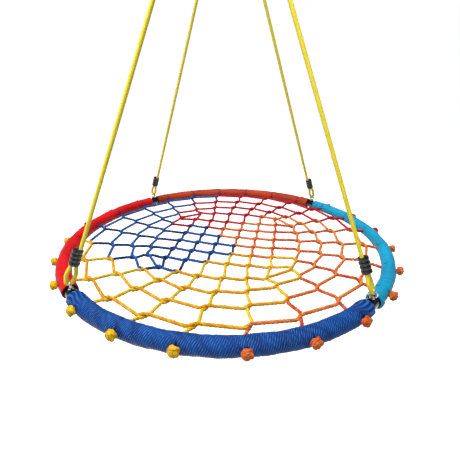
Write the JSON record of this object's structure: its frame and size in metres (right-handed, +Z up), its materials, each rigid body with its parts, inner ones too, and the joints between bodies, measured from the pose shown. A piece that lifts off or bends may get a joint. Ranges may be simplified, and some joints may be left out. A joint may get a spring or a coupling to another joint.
{
  "type": "saucer nest swing",
  "caption": "Round nest swing: padded tube frame in coloured covers, knotted rope net, ropes with ferrules, hanging rings and spring-gate snap hooks.",
  "frame": {"origin": "half way between the two points where the snap hooks rest on what holds them up", "axes": "+Z up, +X to the right across the seat, +Y towards the back; the two snap hooks lie on the Y axis, which is parallel to the swing's axis"},
  "size_m": [1.0216, 1.0216, 1.0838],
  "materials": {
    "zinc_steel": "zinc plated, satin",
    "spring_steel": "plain wire",
    "brass_plunger": "plain turned",
    "yellow_rope": "braided, smooth",
    "black_ferrule": "moulded, satin",
    "black_tube": "gloss black",
    "grey_foam": "closed-cell foam",
    "blue_cover": "wound cord",
    "turquoise_cover": "wound cord",
    "rust_cover": "wound cord",
    "red_cover": "wound cord",
    "net_yellow": "three-strand twisted",
    "net_orange": "three-strand twisted",
    "net_red": "three-strand twisted",
    "net_navy": "three-strand twisted"
  },
  "bodies": {
    "hooks": {"snap_hook_front": "zinc_steel", "snap_hook_back": "zinc_steel", "gate_pin_front": "zinc_steel", "gate_pin_back": "zinc_steel"},
    "gate_front": {"gate_front": "zinc_steel", "gate_spring_front": "spring_steel", "gate_plunger_front": "brass_plunger"},
    "gate_back": {"gate_back": "zinc_steel", "gate_spring_back": "spring_steel", "gate_plunger_back": "brass_plunger"},
    "seat": {"hang_ring_front": "zinc_steel", "hang_ring_back": "zinc_steel", "hanging_rope_front_left": "yellow_rope", "hanging_rope_front_right": "yellow_rope", "hanging_rope_back_right": "yellow_rope", "hanging_rope_back_left": "yellow_rope", "upper_ferrule_front_left": "black_ferrule", "upper_ferrule_front_right": "black_ferrule", "upper_ferrule_back_right": "black_ferrule", "upper_ferrule_back_left": "black_ferrule", "lower_ferrule_front_left": "black_ferrule", "lower_ferrule_front_right": "black_ferrule", "lower_ferrule_back_right": "black_ferrule", "lower_ferrule_back_left": "black_ferrule", "eye_bolt_front_left": "zinc_steel", "eye_bolt_front_right": "zinc_steel", "eye_bolt_back_right": "zinc_steel", "eye_bolt_back_left": "zinc_steel", "bolt_washers": "zinc_steel", "lock_nuts": "zinc_steel", "frame_tube_front": "black_tube", "frame_tube_right": "black_tube", "frame_tube_back": "black_tube", "frame_tube_left": "black_tube", "foam_sleeve_front": "grey_foam", "foam_sleeve_right": "grey_foam", "foam_sleeve_back": "grey_foam", "foam_sleeve_left": "grey_foam", "cover_front": "blue_cover", "cover_right": "turquoise_cover", "cover_back": "rust_cover", "cover_left": "red_cover", "net_yellow": "net_yellow", "net_orange": "net_orange", "net_red": "net_red", "net_navy": "net_navy", "rim_knots_yellow": "net_yellow", "rim_knots_orange": "net_orange", "rim_knots_red": "net_red", "rim_knots_navy": "net_navy"}
  },
  "joints": [
    {"name": "swing", "type": "hinge", "parent": "hooks", "child": "seat", "pos_m": [0, 0, -0.06626], "axis": [0, 1, 0], "range_deg": [-45, 45]},
    {"name": "gate_front_open", "type": "hinge", "parent": "hooks", "child": "gate_front", "pos_m": [0, -0.11839, -0.04797], "axis": [-1, 0, 0], "range_deg": [0, 20], "stiffness_Nm_per_rad": 0.5, "springref_deg": -22.92},
    {"name": "gate_back_open", "type": "hinge", "parent": "hooks", "child": "gate_back", "pos_m": [0, 0.11839, -0.04797], "axis": [1, 0, 0], "range_deg": [0, 20], "stiffness_Nm_per_rad": 0.5, "springref_deg": -22.92}
  ]
}
